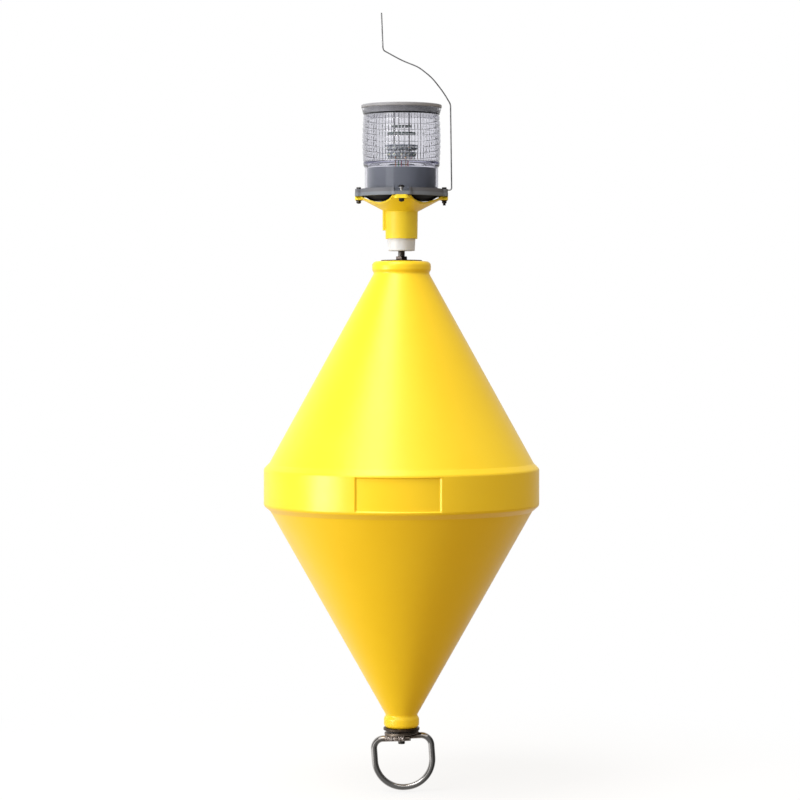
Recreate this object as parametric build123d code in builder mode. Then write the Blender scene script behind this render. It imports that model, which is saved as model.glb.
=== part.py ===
# Navigation buoy: a double-cone float on a through rod, with a lantern above and a mooring ring below.
# Millimetres. The origin is on the axis at the middle of the belly band, which is also the waterline.
# +Z points up and -Y is the front, where the recessed panel is.

import math
import os

from build123d import *

os.makedirs("parts", exist_ok=True)

# Float
float_diameter = 600.0
belly_height = 80.0
shoulder_height = 12.0
upper_shoulder_step = 12.0
lower_shoulder_step = 14.5
shoulder_round = 9.0
shoulder_foot_round = 5.0

upper_cone_height = 413.0
top_neck_radius = 60.0
top_lip_radius = 64.0
top_lip_height = 26.0
top_lip_round = 10.0

lower_cone_height = 447.0
bottom_neck_radius = 34.0
bottom_lip_radius = 38.6
bottom_lip_height = 27.5
bottom_lip_round = 8.5
neck_round = 6.0
neck_groove_height = 7.0
lip_foot_round = 9.0

panel_angle = -91.4
panel_arc = 35.2
panel_height = 75.0
panel_depth = 3.5
panel_draft_run = 3.5

# Through rod and the nut and washers that clamp it
rod_diameter = 16.0
rod_clearance = 0.5
rod_top_cover = 12.0
rod_stub_length = 31.0

top_washer_radius = 45.0
top_washer_thickness = 2.5
nut_across_flats = 24.0
nut_height = 8.0
hex_chamfer_rise = 1.0
thread_clearance = 0.1
rod_neck_above_nut = 12.0

lower_washer_radius = 39.5
lower_washer_thickness = 5.5
washer_edge_chamfer = 0.8

# Ring plate and mooring ring, welded together and hanging a little askew
ring_roll = 4.2
ring_plate_radius = 37.5
ring_plate_thickness = 6.0
ring_plate_clearance = 1.0
ring_bar_diameter = 14.0
ring_outer_width = 139.6
ring_straight_depth = 47.5
ring_corner_radius = 22.0
ring_bottom_flat = 1.0
ring_end_overrun = 18.0
weld_gap = 0.1
ring_rod_gap = 0.4

# Nylon bushing and lantern bracket
bushing_height = 26.3
bushing_radius = 30.3
bushing_taper = 1.4
bushing_chamfer = 1.0
bushing_plug_height = 24.0
seat_clearance = 0.3

socket_wall = 4.1
socket_taper = 0.8
bracket_tube_height = 58.7
socket_stop_step = 4.6
funnel_angle = 27.8
funnel_wall = 3.2
funnel_round = 3.0
funnel_rim_step = 11.0
pad_length = 18.0
pad_root_cover = 2.0
pad_thickness = 8.0
pad_width = 34.0
pad_top_width = 25.0
pad_side_height = 2.0
pad_side_round = 4.0
pad_corner_round = 9.0
scallop_depth = 36.0
bracket_rib_width = 15.0
bracket_rib_proud = 6.5
bracket_rib_height = 40.5
bracket_rib_round = 3.0
rib_root = 1.5

# Lantern base. Its radius sets the sleeve, the lens, the flange and the place of the bolts.
base_radius = 74.6
base_height = 45.36
base_edge_round = 1.5
bolt_stand_off = 13.0
bolt_margin = 8.0
bolt_count = 4
bolt_diameter = 6.0
bolt_hole_clearance = 0.3
bolt_across_flats = 10.0
bolt_head_height = 4.2
bolt_head_stand = 8.4
bolt_ends = (4.8, 1.0, 1.0, 1.0)
bolt_nut_height = 5.0
nut_collar_radius = 6.4
nut_collar_thickness = 1.6

flange_ear_width = 44.0
flange_ear_length = 60.0
flange_ear_round = 8.0
flange_waist_margin = 12.0
lower_flange_thickness = 7.4
upper_flange_thickness = 8.24
bolt_notch_width = 33.0
dish_depth = 9.0
dish_slope_run = 14.0

# Drum lens
sleeve_gap = 2.8
sleeve_wall = 2.6
sleeve_height = 47.76
lens_ledge_width = 12.6
lens_ledge_rise = 7.0
lens_ledge_thickness = 3.0
lens_ring_pitch = 12.7
lens_ring_count = 9
lens_step = 2.6
lens_barrel = 2.6
lens_groove_depth = 1.6
lens_wall = 5.0
flute_count = 48
flute_radius = 2.2
flute_depth = 0.9
roof_thickness = 2.5
rim_height = 13.4
rim_floor = 1.5
rim_foot_step = 0.5
rim_flare = 3.9
rim_wall = 1.6

# Lid
cap_overhang = 0.5
cap_thickness = 7.2
cap_edge_round = 1.6
skirt_wall = 3.0

# Light source inside the lens. Each board's top lies this far under the lid.
upper_board_drop = 79.7
upper_board_radius = 35.5
lower_board_drop = 94.7
lower_board_radius = 33.0
led_board_thickness = 1.6
led_count = 12
led_core_radius = 22.0
led_width = 11.0
led_depth = 5.0
led_height = 8.4
driver_board_drop = 52.7
driver_board_radius = 31.0
cap_board_drop = 37.7
cap_board_radius = 21.0
thin_board_thickness = 2.4
post_count = 4
post_circle_radius = 18.0
post_turn = 20.0
post_diameter = 3.0
post_clearance = 0.1
supply_wire_diameter = 1.8
supply_wire_depth = 8.0
supply_wire_places = (-13.1, -6.5, -0.2, 9.4, 14.2)

# Cover screw at the right of the sleeve
cover_screw_head_diameter = 5.4
cover_screw_head_height = 2.6
cover_screw_rise = 2.9

# Bird wire, bent in one plane through the axis. Its leg stands outside the right bolt.
# Route from the tip: inwards from the leg, height over the lid, radius of the bend there
bird_wire_diameter = 3.0
bird_wire_leg_step = 16.0
bird_wire_foot_round = 5.0
bird_wire_route = (
    (152.5, 199.7, 0.0),
    (149.2, 119.1, 9.0),
    (108.7, 96.8, 220.0),
    (72.2, 82.4, 70.0),
    (43.2, 59.8, 120.0),
    (18.2, 27.9, 200.0),
    (2.6, 2.1, 22.0),
)
bird_wire_eye_clearance = 0.2

# Sizes that follow from the ones above
float_radius = float_diameter / 2
half_belly = belly_height / 2
rod_radius = rod_diameter / 2
bore_radius = rod_radius + rod_clearance
upper_shoulder_radius = float_radius - upper_shoulder_step
lower_shoulder_radius = float_radius - lower_shoulder_step
shoulder_level = half_belly + shoulder_height
top_neck_level = shoulder_level + upper_cone_height
float_top = top_neck_level + top_lip_height
bottom_neck_level = -shoulder_level - lower_cone_height
float_bottom = bottom_neck_level - bottom_lip_height

nut_base = float_top + top_washer_thickness
nut_top = nut_base + nut_height
bushing_base = nut_top + rod_neck_above_nut
bracket_base = bushing_base + bushing_height
lower_washer_bottom = float_bottom - lower_washer_thickness

ring_bar_radius = ring_bar_diameter / 2
ring_half_width = ring_outer_width / 2 - ring_bar_radius
ring_side_offset = rod_radius + ring_bar_radius + ring_rod_gap

funnel_slope = math.tan(math.radians(funnel_angle))
funnel_base = bracket_base + bracket_tube_height
bolt_hole_radius = bolt_diameter / 2 + bolt_hole_clearance

sleeve_inner_radius = base_radius + sleeve_gap
sleeve_outer_radius = sleeve_inner_radius + sleeve_wall
bolt_place_radius = sleeve_outer_radius + bolt_stand_off
pad_reach = bolt_place_radius + bolt_margin
flange_waist_radius = sleeve_outer_radius + flange_waist_margin


def hexagon(across_flats):
    """Hexagon with two of its flats facing front and back."""
    return RegularPolygon(across_flats / 2, 6, major_radius=False, rotation=30)


def corner_rounder(across_flats, base, height):
    """Turned blank that takes the sharp corners off a hexagon nut or head standing on base."""
    corner_radius = across_flats / math.sqrt(3)
    with BuildPart() as blank:
        with BuildSketch(Plane.XY.offset(base)):
            Circle(corner_radius)
        extrude(amount=height)
        chamfer(
            blank.edges().filter_by(GeomType.CIRCLE),
            length=hex_chamfer_rise,
            length2=corner_radius - across_flats / 2,
        )
    return blank.part


# The float: one moulding, turned from its half outline, with the rod's bore down the axis.
# Half outline: radius, height, round of the corner there
hull_outline = (
    (bore_radius, float_bottom, 0.0),
    (bottom_lip_radius, float_bottom, bottom_lip_round),
    (bottom_lip_radius, bottom_neck_level - neck_groove_height, lip_foot_round),
    (bottom_neck_radius, bottom_neck_level, neck_round),
    (lower_shoulder_radius, -shoulder_level, shoulder_foot_round),
    (float_radius, -half_belly, shoulder_round),
    (float_radius, half_belly, shoulder_round),
    (upper_shoulder_radius, shoulder_level, shoulder_foot_round),
    (top_neck_radius, top_neck_level, neck_round),
    (top_lip_radius, top_neck_level + neck_groove_height, lip_foot_round),
    (top_lip_radius, float_top, top_lip_round),
    (bore_radius, float_top, 0.0),
)

# The recess in the belly band: a shallow sector with drafted walls, open outwards.
# Half outline: radius, half height
panel_floor_radius = float_radius - panel_depth
panel_mouth_radius = float_radius + panel_depth
panel_outline = (
    (panel_floor_radius, panel_height / 2 - panel_draft_run),
    (panel_mouth_radius, panel_height / 2 + panel_draft_run),
    (panel_mouth_radius, -panel_height / 2 - panel_draft_run),
    (panel_floor_radius, -panel_height / 2 + panel_draft_run),
)
panel_start = panel_angle - panel_arc / 2
panel_start_plane = Plane(
    origin=(0, 0, 0),
    x_dir=(math.cos(math.radians(panel_start)), math.sin(math.radians(panel_start)), 0),
    z_dir=(math.sin(math.radians(panel_start)), -math.cos(math.radians(panel_start)), 0),
)
with BuildPart() as panel_recess:
    with BuildSketch(panel_start_plane):
        with BuildLine():
            Polyline(*panel_outline, close=True)
        make_face()
    revolve(axis=Axis.Z, revolution_arc=panel_arc)
    panel_ends = panel_recess.edges().filter_by(Axis.Z).group_by(
        lambda edge: round(math.hypot(edge.center().X, edge.center().Y), 3)
    )[0]
    chamfer(panel_ends, length=panel_draft_run)

with BuildPart() as hull:
    with BuildSketch(Plane.XZ):
        with BuildLine():
            FilletPolyline(
                *[(radius, height) for radius, height, _ in hull_outline],
                radius=[corner for _, _, corner in hull_outline],
                close=True,
            )
        make_face()
    revolve(axis=Axis.Z)
    add(panel_recess.part, mode=Mode.SUBTRACT)
hull.part.label = "hull"
export_step(hull.part, "parts/hull.step")


# The rod runs from the stub under the float up into the bushing.
rod_bottom = lower_washer_bottom - rod_stub_length
rod_top = bracket_base + bushing_plug_height - rod_top_cover
with BuildPart() as through_rod:
    with BuildSketch(Plane.XY.offset(rod_bottom)):
        Circle(rod_radius)
    extrude(amount=rod_top - rod_bottom)
    chamfer(through_rod.edges().filter_by(GeomType.CIRCLE), length=thread_clearance * 10)
through_rod.part.label = "through_rod"
export_step(through_rod.part, "parts/through_rod.step")

with BuildPart() as top_washer:
    with BuildSketch(Plane.XY.offset(float_top)):
        Circle(top_washer_radius)
        Circle(bore_radius, mode=Mode.SUBTRACT)
    extrude(amount=top_washer_thickness)
    chamfer(top_washer.edges().group_by(SortBy.LENGTH)[-1], length=washer_edge_chamfer)
top_washer.part.label = "top_washer"
export_step(top_washer.part, "parts/top_washer.step")

top_nut_blank = corner_rounder(nut_across_flats, nut_base, nut_height)
with BuildPart() as top_nut:
    with BuildSketch(Plane.XY.offset(nut_base)):
        hexagon(nut_across_flats)
        Circle(rod_radius + thread_clearance, mode=Mode.SUBTRACT)
    extrude(amount=nut_height)
    add(top_nut_blank, mode=Mode.INTERSECT)
top_nut.part.label = "top_nut"
export_step(top_nut.part, "parts/top_nut.step")

with BuildPart() as lower_washer:
    with BuildSketch(Plane.XY.offset(float_bottom)):
        Circle(lower_washer_radius)
        Circle(bore_radius, mode=Mode.SUBTRACT)
    extrude(amount=-lower_washer_thickness)
    chamfer(lower_washer.edges().group_by(SortBy.LENGTH)[-1], length=washer_edge_chamfer)
lower_washer.part.label = "lower_washer"
export_step(lower_washer.part, "parts/lower_washer.step")


# The ring plate and the ring share one tilted frame. Its right edge touches the lower washer, and
# its left edge hangs lower.
roll_sine = math.sin(math.radians(ring_roll))
roll_cosine = math.cos(math.radians(ring_roll))
ring_frame = Plane(
    origin=(0, 0, lower_washer_bottom - weld_gap - ring_plate_radius * roll_sine),
    x_dir=(roll_cosine, 0, roll_sine),
    z_dir=(-roll_sine, 0, roll_cosine),
)
with BuildPart() as ring_plate:
    with BuildSketch(ring_frame):
        Circle(ring_plate_radius)
        Circle(rod_radius + ring_plate_clearance, mode=Mode.SUBTRACT)
    extrude(amount=-ring_plate_thickness)
    chamfer(ring_plate.edges().group_by(SortBy.LENGTH)[-1], length=washer_edge_chamfer)
ring_plate.part.label = "ring_plate"
export_step(ring_plate.part, "parts/ring_plate.step")

# The bar's two ends run past the rod, the left one in front and the right one behind.
end_angle = math.asin(ring_side_offset / ring_half_width)
end_depth = (ring_half_width + ring_end_overrun) * math.tan(end_angle)
ring_top = -ring_plate_thickness - weld_gap - ring_bar_radius
ring_low = ring_top - ring_straight_depth - ring_half_width
# Route of the bar's centre line: across, depth, height, radius of the bend there
ring_route = (
    (ring_end_overrun, -end_depth, ring_top, 0.0),
    (-ring_half_width, 0.0, ring_top, ring_corner_radius),
    (-ring_half_width, 0.0, ring_low, ring_half_width - ring_bottom_flat),
    (ring_half_width, 0.0, ring_low, ring_half_width - ring_bottom_flat),
    (ring_half_width, 0.0, ring_top, ring_corner_radius),
    (-ring_end_overrun, end_depth, ring_top, 0.0),
)
with BuildPart() as mooring_ring:
    with BuildLine() as ring_line:
        FilletPolyline(
            *[ring_frame.from_local_coords(Vector(x, y, z)) for x, y, z, _ in ring_route],
            radius=[bend for _, _, _, bend in ring_route[1:-1]],
        )
    ring_path = ring_line.wire()
    with BuildSketch(Plane(origin=ring_path @ 0, z_dir=ring_path % 0)):
        Circle(ring_bar_radius)
    sweep(path=ring_path)
mooring_ring.part.label = "mooring_ring"
export_step(mooring_ring.part, "parts/mooring_ring.step")


# The bushing is a tapered collar that goes on up into the bracket's socket. The rod ends inside it.
bushing_top = bracket_base + bushing_plug_height
with BuildPart() as rod_bushing:
    with BuildSketch(Plane.XZ):
        with BuildLine():
            Polyline(
                (0, bushing_top),
                (bushing_radius, bushing_top),
                (bushing_radius, bracket_base),
                (bushing_radius - bushing_taper, bushing_base),
                (rod_radius + thread_clearance, bushing_base),
                (rod_radius + thread_clearance, rod_top),
                (0, rod_top),
                close=True,
            )
        make_face()
    revolve(axis=Axis.Z)
    lower_rims = rod_bushing.edges().filter_by(GeomType.CIRCLE).group_by(Axis.Z)[0]
    chamfer(lower_rims.sort_by(SortBy.LENGTH)[-1], length=bushing_chamfer)
rod_bushing.part.label = "rod_bushing"
export_step(rod_bushing.part, "parts/rod_bushing.step")


# The bracket is one moulding: a socket, a funnel with four scallops in its rim, and the four pads that
# they leave between them.
socket_radius = bushing_radius + seat_clearance
socket_stop_radius = socket_radius - socket_stop_step
tube_bottom_radius = socket_radius + socket_wall
tube_top_radius = tube_bottom_radius + socket_taper
funnel_wall_rise = funnel_wall / math.cos(math.radians(funnel_angle))
funnel_rim_radius = pad_reach - funnel_rim_step
funnel_rim_level = funnel_base + (funnel_rim_radius - tube_top_radius) * funnel_slope
pad_root_radius = pad_reach - pad_length
pad_bottom = funnel_base + (pad_root_radius - tube_top_radius) * funnel_slope
pad_top = pad_bottom + pad_thickness
socket_stop_level = funnel_base + (socket_stop_radius - tube_top_radius) * funnel_slope
# Half outline: radius, height, round of the corner there
bracket_outline = (
    (socket_radius, bracket_base, 0.0),
    (tube_bottom_radius, bracket_base, 0.0),
    (tube_top_radius, funnel_base, funnel_round),
    (funnel_rim_radius, funnel_rim_level, 0.0),
    (funnel_rim_radius, funnel_rim_level + funnel_wall_rise, 0.0),
    (socket_stop_radius, socket_stop_level + funnel_wall_rise, 0.0),
    (socket_stop_radius, bushing_top, 0.0),
    (socket_radius, bushing_top, 0.0),
)
# Each scallop is an arc that meets the tips of two pads and comes in to the waist between them.
half_pitch = 180 / bolt_count
scallop_waist_radius = pad_reach - scallop_depth
tip_angle = math.radians(half_pitch) - math.asin(pad_width / 2 / pad_reach)
tip_along = pad_reach * math.cos(tip_angle)
scallop_centre = (pad_reach**2 - scallop_waist_radius**2) / 2 / (tip_along - scallop_waist_radius)
# One pad, humped in cross section and rounded in plan
pad_middle = pad_reach - (pad_length + pad_root_cover) / 2
with BuildPart() as pad_block:
    with BuildSketch(Plane(origin=(pad_root_radius, 0, pad_bottom), x_dir=(0, 1, 0), z_dir=(1, 0, 0))):
        with BuildLine():
            FilletPolyline(
                (-pad_width / 2, 0),
                (pad_width / 2, 0),
                (pad_width / 2, pad_side_height),
                (pad_top_width / 2, pad_thickness),
                (-pad_top_width / 2, pad_thickness),
                (-pad_width / 2, pad_side_height),
                radius=(0, 0, pad_side_round, 0, 0, pad_side_round),
                close=True,
            )
        make_face()
    extrude(amount=pad_length, both=True)
    with BuildSketch(Plane.XY.offset(pad_bottom)):
        with Locations((pad_middle, 0)):
            RectangleRounded(pad_length + pad_root_cover, pad_width, pad_corner_round)
    extrude(amount=pad_thickness, mode=Mode.INTERSECT)

with BuildPart() as lantern_bracket:
    with BuildSketch(Plane.XZ):
        with BuildLine():
            FilletPolyline(
                *[(radius, height) for radius, height, _ in bracket_outline],
                radius=[corner for _, _, corner in bracket_outline],
                close=True,
            )
        make_face()
    revolve(axis=Axis.Z)
    # The pads stand on the funnel's rim and carry the flange.
    for pad_number in range(bolt_count):
        add(Rot(0, 0, 360 / bolt_count * pad_number) * pad_block.part)
    with BuildSketch(Plane.XY.offset(funnel_base)):
        with PolarLocations(scallop_centre, bolt_count, start_angle=half_pitch):
            Circle(scallop_centre - scallop_waist_radius)
    extrude(amount=pad_top - funnel_base, mode=Mode.SUBTRACT)
    with BuildSketch(Plane.XY.offset(funnel_base)):
        with PolarLocations(bolt_place_radius, bolt_count):
            Circle(bolt_hole_radius)
    extrude(amount=pad_top - funnel_base, mode=Mode.SUBTRACT)
    # Raised rib down the left side of the socket, running up into the funnel's wall
    with BuildSketch(Plane.XY.offset(funnel_base + funnel_wall_rise)) as rib_section:
        with Locations((-tube_bottom_radius, 0)):
            Rectangle(2 * bracket_rib_proud, bracket_rib_width)
        fillet(rib_section.vertices().group_by(Axis.X)[0], radius=bracket_rib_round)
        Circle(socket_radius + rib_root, mode=Mode.SUBTRACT)
    extrude(amount=-bracket_rib_height - funnel_wall_rise)
lantern_bracket.part.label = "lantern_bracket"
export_step(lantern_bracket.part, "parts/lantern_bracket.step")


# Both flange layers share one outline: a disc with a square ear at each bolt.
def flange_outline():
    """Flange outline in the current sketch."""
    Circle(flange_waist_radius)
    with PolarLocations(pad_reach - flange_ear_length / 2, bolt_count):
        RectangleRounded(flange_ear_length, flange_ear_width, flange_ear_round)


lower_flange_top = pad_top + lower_flange_thickness
upper_flange_top = lower_flange_top + upper_flange_thickness
base_top = upper_flange_top + base_height
with BuildPart() as base_plate:
    with BuildSketch(Plane.XY.offset(pad_top)):
        flange_outline()
        with PolarLocations(bolt_place_radius, bolt_count):
            Circle(bolt_hole_radius, mode=Mode.SUBTRACT)
    extrude(amount=lower_flange_thickness)
    with BuildSketch(Plane.XZ):
        with BuildLine():
            Polyline(
                (0, pad_top),
                (0, pad_top - dish_depth),
                (sleeve_outer_radius - dish_slope_run, pad_top - dish_depth),
                (sleeve_outer_radius, pad_top),
                close=True,
            )
        make_face()
    revolve(axis=Axis.Z)
base_plate.part.label = "base_plate"
export_step(base_plate.part, "parts/base_plate.step")

with BuildPart() as lantern_base:
    with BuildSketch(Plane.XY.offset(lower_flange_top)):
        flange_outline()
        with PolarLocations(bolt_place_radius, bolt_count):
            SlotCenterPoint(
                (0, 0), (bolt_notch_width, 0), bolt_notch_width, mode=Mode.SUBTRACT
            )
    extrude(amount=upper_flange_thickness)
    with BuildSketch(Plane.XY.offset(lower_flange_top)):
        Circle(base_radius)
    extrude(amount=upper_flange_thickness + base_height)
    fillet(lantern_base.edges().group_by(Axis.Z)[-1], radius=base_edge_round)
lantern_base.part.label = "lantern_base"
export_step(lantern_base.part, "parts/lantern_base.step")


# The drum lens: a plain sleeve over the base, a ledge above it, nine barrelled rings with upright
# flutes inside, a flat roof, and a rim that flares to carry the lid.
lens_foot = upper_flange_top + sleeve_height
ledge_bottom = lens_foot + lens_ledge_rise
ledge_top = ledge_bottom + lens_ledge_thickness
lens_top = lens_foot + lens_ring_count * lens_ring_pitch
skirt_seat = lens_top + rim_floor
roof_bottom = skirt_seat - roof_thickness
rim_top = lens_top + rim_height
lens_end_radius = sleeve_outer_radius + lens_step
lens_inner_radius = lens_end_radius - lens_wall
rim_foot_radius = lens_end_radius + rim_foot_step
rim_flare_radius = rim_foot_radius + rim_flare
skirt_seat_radius = rim_foot_radius - rim_wall


def barrel_radius(height):
    """Radius over the rings' crests at a height."""
    half_height = (lens_top - lens_foot) / 2
    share = (height - lens_foot - half_height) / half_height
    return lens_end_radius + lens_barrel * (1 - share**2)


with BuildPart() as lens_drum:
    with BuildSketch(Plane.XZ):
        with BuildLine():
            for ring in range(lens_ring_count):
                low = lens_foot + ring * lens_ring_pitch
                high = low + lens_ring_pitch
                middle = (low + high) / 2
                ThreePointArc(
                    (barrel_radius(low) - lens_groove_depth, low),
                    (barrel_radius(middle), middle),
                    (barrel_radius(high) - lens_groove_depth, high),
                )
            Polyline(
                (barrel_radius(lens_top) - lens_groove_depth, lens_top),
                (rim_foot_radius, lens_top),
                (rim_flare_radius, rim_top),
                (rim_flare_radius - rim_wall, rim_top),
                (skirt_seat_radius, skirt_seat),
                (0, skirt_seat),
                (0, roof_bottom),
                (lens_inner_radius, roof_bottom),
                (lens_inner_radius, ledge_top),
                (lens_inner_radius - lens_ledge_width, ledge_top),
                (lens_inner_radius - lens_ledge_width, ledge_bottom),
                (sleeve_inner_radius, ledge_bottom),
                (sleeve_inner_radius, upper_flange_top),
                (sleeve_outer_radius, upper_flange_top),
                (sleeve_outer_radius, lens_foot),
                (barrel_radius(lens_foot) - lens_groove_depth, lens_foot),
            )
        make_face()
    revolve(axis=Axis.Z)
    with BuildSketch(Plane.XY.offset(ledge_top)):
        with PolarLocations(lens_inner_radius + flute_depth - flute_radius, flute_count):
            Circle(flute_radius)
    extrude(amount=roof_bottom - ledge_top, mode=Mode.SUBTRACT)
lens_drum.part.label = "lens_drum"
export_step(lens_drum.part, "parts/lens_drum.step")


# The lid is a flat disc on the rim, with a dark ring under it inside the rim.
with BuildPart() as cap_disc:
    with BuildSketch(Plane.XY.offset(rim_top)):
        Circle(rim_flare_radius + cap_overhang)
    extrude(amount=cap_thickness)
    fillet(cap_disc.edges().filter_by(GeomType.CIRCLE), radius=cap_edge_round)
cap_disc.part.label = "cap_disc"
export_step(cap_disc.part, "parts/cap_disc.step")

skirt_radius = skirt_seat_radius - seat_clearance
with BuildPart() as cap_skirt:
    with BuildSketch(Plane.XY.offset(skirt_seat)):
        Circle(skirt_radius)
        Circle(skirt_radius - skirt_wall, mode=Mode.SUBTRACT)
    extrude(amount=rim_top - skirt_seat)
cap_skirt.part.label = "cap_skirt"
export_step(cap_skirt.part, "parts/cap_skirt.step")


# Each bolt's head stands level with the flange's top, and its collared nut is tight under the pad. The
# right bolt is longer than the others.
bolt_head_bottom = lower_flange_top + bolt_head_stand
nut_hex_top = pad_bottom - nut_collar_thickness
nut_bottom = nut_hex_top - bolt_nut_height
head_blank = corner_rounder(bolt_across_flats, bolt_head_bottom, bolt_head_height)
nut_blank = corner_rounder(bolt_across_flats, nut_bottom, bolt_nut_height)
for bolt_number, bolt_end in enumerate(bolt_ends):
    bolt_angle = 360 / bolt_count * bolt_number
    bolt_turn = Rot(0, 0, bolt_angle) * Pos(bolt_place_radius, 0, 0)

    with BuildPart() as bolt:
        with BuildSketch(Plane.XY.offset(bolt_head_bottom)):
            hexagon(bolt_across_flats)
        extrude(amount=bolt_head_height)
        add(head_blank, mode=Mode.INTERSECT)
        with BuildSketch(Plane.XY.offset(nut_bottom - bolt_end)):
            Circle(bolt_diameter / 2)
        extrude(amount=bolt_head_bottom - nut_bottom + bolt_end)
    placed_bolt = bolt_turn * bolt.part
    placed_bolt.label = f"lantern_bolt_{bolt_number + 1}"
    export_step(placed_bolt, f"parts/lantern_bolt_{bolt_number + 1}.step")

    with BuildPart() as bolt_nut:
        with BuildSketch(Plane.XY.offset(nut_bottom)):
            hexagon(bolt_across_flats)
        extrude(amount=bolt_nut_height)
        add(nut_blank, mode=Mode.INTERSECT)
        with BuildSketch(Plane.XY.offset(nut_hex_top)):
            Circle(nut_collar_radius)
        extrude(amount=nut_collar_thickness)
        with BuildSketch(Plane.XY.offset(nut_bottom)):
            Circle(bolt_diameter / 2 + thread_clearance)
        extrude(amount=bolt_nut_height + nut_collar_thickness, mode=Mode.SUBTRACT)
    placed_nut = bolt_turn * bolt_nut.part
    placed_nut.label = f"lantern_nut_{bolt_number + 1}"
    export_step(placed_nut, f"parts/lantern_nut_{bolt_number + 1}.step")


# A small screw on the base's side, in the gap behind the sleeve
with BuildPart() as cover_screw:
    with BuildSketch(Plane.YZ.offset(base_radius)):
        with Locations((0, upper_flange_top + cover_screw_rise)):
            Circle(cover_screw_head_diameter / 2)
    extrude(amount=cover_screw_head_height)
cover_screw.part.label = "cover_screw"
export_step(cover_screw.part, "parts/cover_screw.step")


# The light source hangs from the lens roof on four posts, which pass through every board.
def post_places():
    """Places of the four posts in the current sketch."""
    return PolarLocations(post_circle_radius, post_count, start_angle=post_turn)


for board_name, board_drop, board_radius in (
    ("lower_led_board", lower_board_drop, lower_board_radius),
    ("upper_led_board", upper_board_drop, upper_board_radius),
):
    board_top = rim_top - board_drop
    with BuildPart() as led_board:
        with BuildSketch(Plane.XY.offset(board_top)):
            Circle(board_radius)
        extrude(amount=-led_board_thickness)
        with BuildSketch(Plane.XY.offset(board_top - led_board_thickness)):
            Circle(led_core_radius)
            with PolarLocations(board_radius - led_depth, led_count):
                Rectangle(led_depth, led_width)
        extrude(amount=-led_height)
        with BuildSketch(Plane.XY.offset(board_top)):
            with post_places():
                Circle(post_diameter / 2 + post_clearance)
        extrude(amount=-led_board_thickness - led_height, mode=Mode.SUBTRACT)
    led_board.part.label = board_name
    export_step(led_board.part, f"parts/{board_name}.step")

for board_name, board_drop, board_radius in (
    ("driver_board", driver_board_drop, driver_board_radius),
    ("cap_board", cap_board_drop, cap_board_radius),
):
    board_top = rim_top - board_drop
    with BuildPart() as thin_board:
        with BuildSketch(Plane.XY.offset(board_top)):
            Circle(board_radius)
            with post_places():
                Circle(post_diameter / 2 + post_clearance, mode=Mode.SUBTRACT)
        extrude(amount=-thin_board_thickness)
    thin_board.part.label = board_name
    export_step(thin_board.part, f"parts/{board_name}.step")

post_bottom = rim_top - lower_board_drop - led_board_thickness - led_height
for post_number in range(post_count):
    post_angle = math.radians(post_turn + 360 / post_count * post_number)
    with BuildPart() as board_post:
        with BuildSketch(Plane.XY.offset(post_bottom)):
            with Locations(
                (post_circle_radius * math.cos(post_angle), post_circle_radius * math.sin(post_angle))
            ):
                Circle(post_diameter / 2)
        extrude(amount=roof_bottom - post_bottom)
    board_post.part.label = f"board_post_{post_number + 1}"
    export_step(board_post.part, f"parts/board_post_{post_number + 1}.step")

for wire_number, wire_place in enumerate(supply_wire_places):
    with BuildPart() as supply_wire:
        with BuildSketch(Plane.XY.offset(base_top)):
            with Locations((wire_place, -supply_wire_depth)):
                Circle(supply_wire_diameter / 2)
        extrude(amount=post_bottom - base_top)
    supply_wire.part.label = f"supply_wire_{wire_number + 1}"
    export_step(supply_wire.part, f"parts/supply_wire_{wire_number + 1}.step")


# The bird wire ends in an eye round the right bolt, under its head.
bird_wire_radius = bird_wire_diameter / 2
eye_radius = bolt_diameter / 2 + bird_wire_eye_clearance + bird_wire_radius
eye_level = bolt_head_bottom - bird_wire_eye_clearance - bird_wire_radius
leg_place = bolt_place_radius + bird_wire_leg_step
cap_top = rim_top + cap_thickness
bird_wire_points = [(leg_place - inwards, 0, cap_top + rise) for inwards, rise, _ in bird_wire_route]
with BuildPart() as bird_wire:
    with BuildLine() as bird_wire_line:
        FilletPolyline(
            *bird_wire_points,
            (leg_place, 0, eye_level),
            (bolt_place_radius + eye_radius, 0, eye_level),
            radius=[bend for _, _, bend in bird_wire_route[1:]] + [bird_wire_foot_round],
        )
    bird_wire_path = bird_wire_line.wire()
    with BuildSketch(Plane(origin=bird_wire_path @ 0, z_dir=bird_wire_path % 0)):
        Circle(bird_wire_radius)
    sweep(path=bird_wire_path)
    with Locations((bolt_place_radius, 0, eye_level)):
        Torus(eye_radius, bird_wire_radius)
bird_wire.part.label = "bird_wire"
export_step(bird_wire.part, "parts/bird_wire.step")
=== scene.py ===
import math

import bmesh
import bpy
from mathutils import Matrix, Vector


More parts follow.
